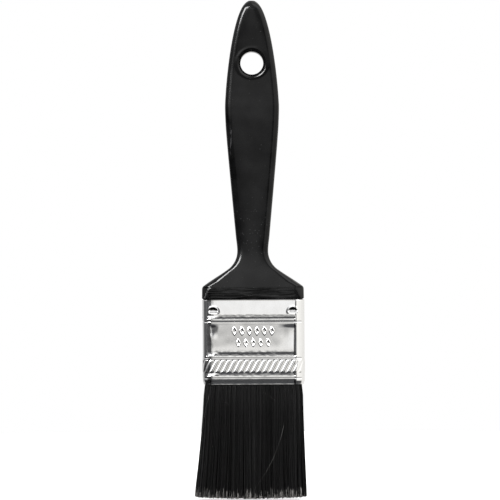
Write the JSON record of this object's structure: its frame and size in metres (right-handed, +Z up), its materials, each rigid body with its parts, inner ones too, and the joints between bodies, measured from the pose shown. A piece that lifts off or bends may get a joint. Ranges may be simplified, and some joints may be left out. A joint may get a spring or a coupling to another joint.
{
  "type": "flat paint brush",
  "caption": "Flat paint brush: black moulded handle with a hanging hole, bright pressed sheet-metal ferrule staked to it, and a flaring pack of black filaments.",
  "frame": {"origin": "centre of the hanging hole in the handle", "axes": "+Z up the handle from the filaments to the nose, +X across the width, -Y out of the front face"},
  "size_m": [0.0417, 0.0132, 0.1874],
  "materials": {
    "handle_plastic": "satin black moulded plastic",
    "tinplate": "bright rolled tinplate",
    "resin": "cast amber resin",
    "plug_wood": "plain sawn softwood",
    "filament": "black drawn synthetic filament with paler split tips"
  },
  "bodies": {
    "brush": {"handle": "handle_plastic", "ferrule": "tinplate", "resin_setting": "resin", "spacer_plug": "plug_wood", "front_filament_roots": "filament", "back_filament_roots": "filament"},
    "filaments": {"front_filaments": "filament", "back_filaments": "filament"}
  },
  "joints": [
    {"name": "filament_flex", "type": "hinge", "parent": "brush", "child": "filaments", "pos_m": [0, 0, -0.1229], "axis": [1, 0, 0], "range_deg": [-35, 35], "stiffness_Nm_per_rad": 0.3}
  ]
}
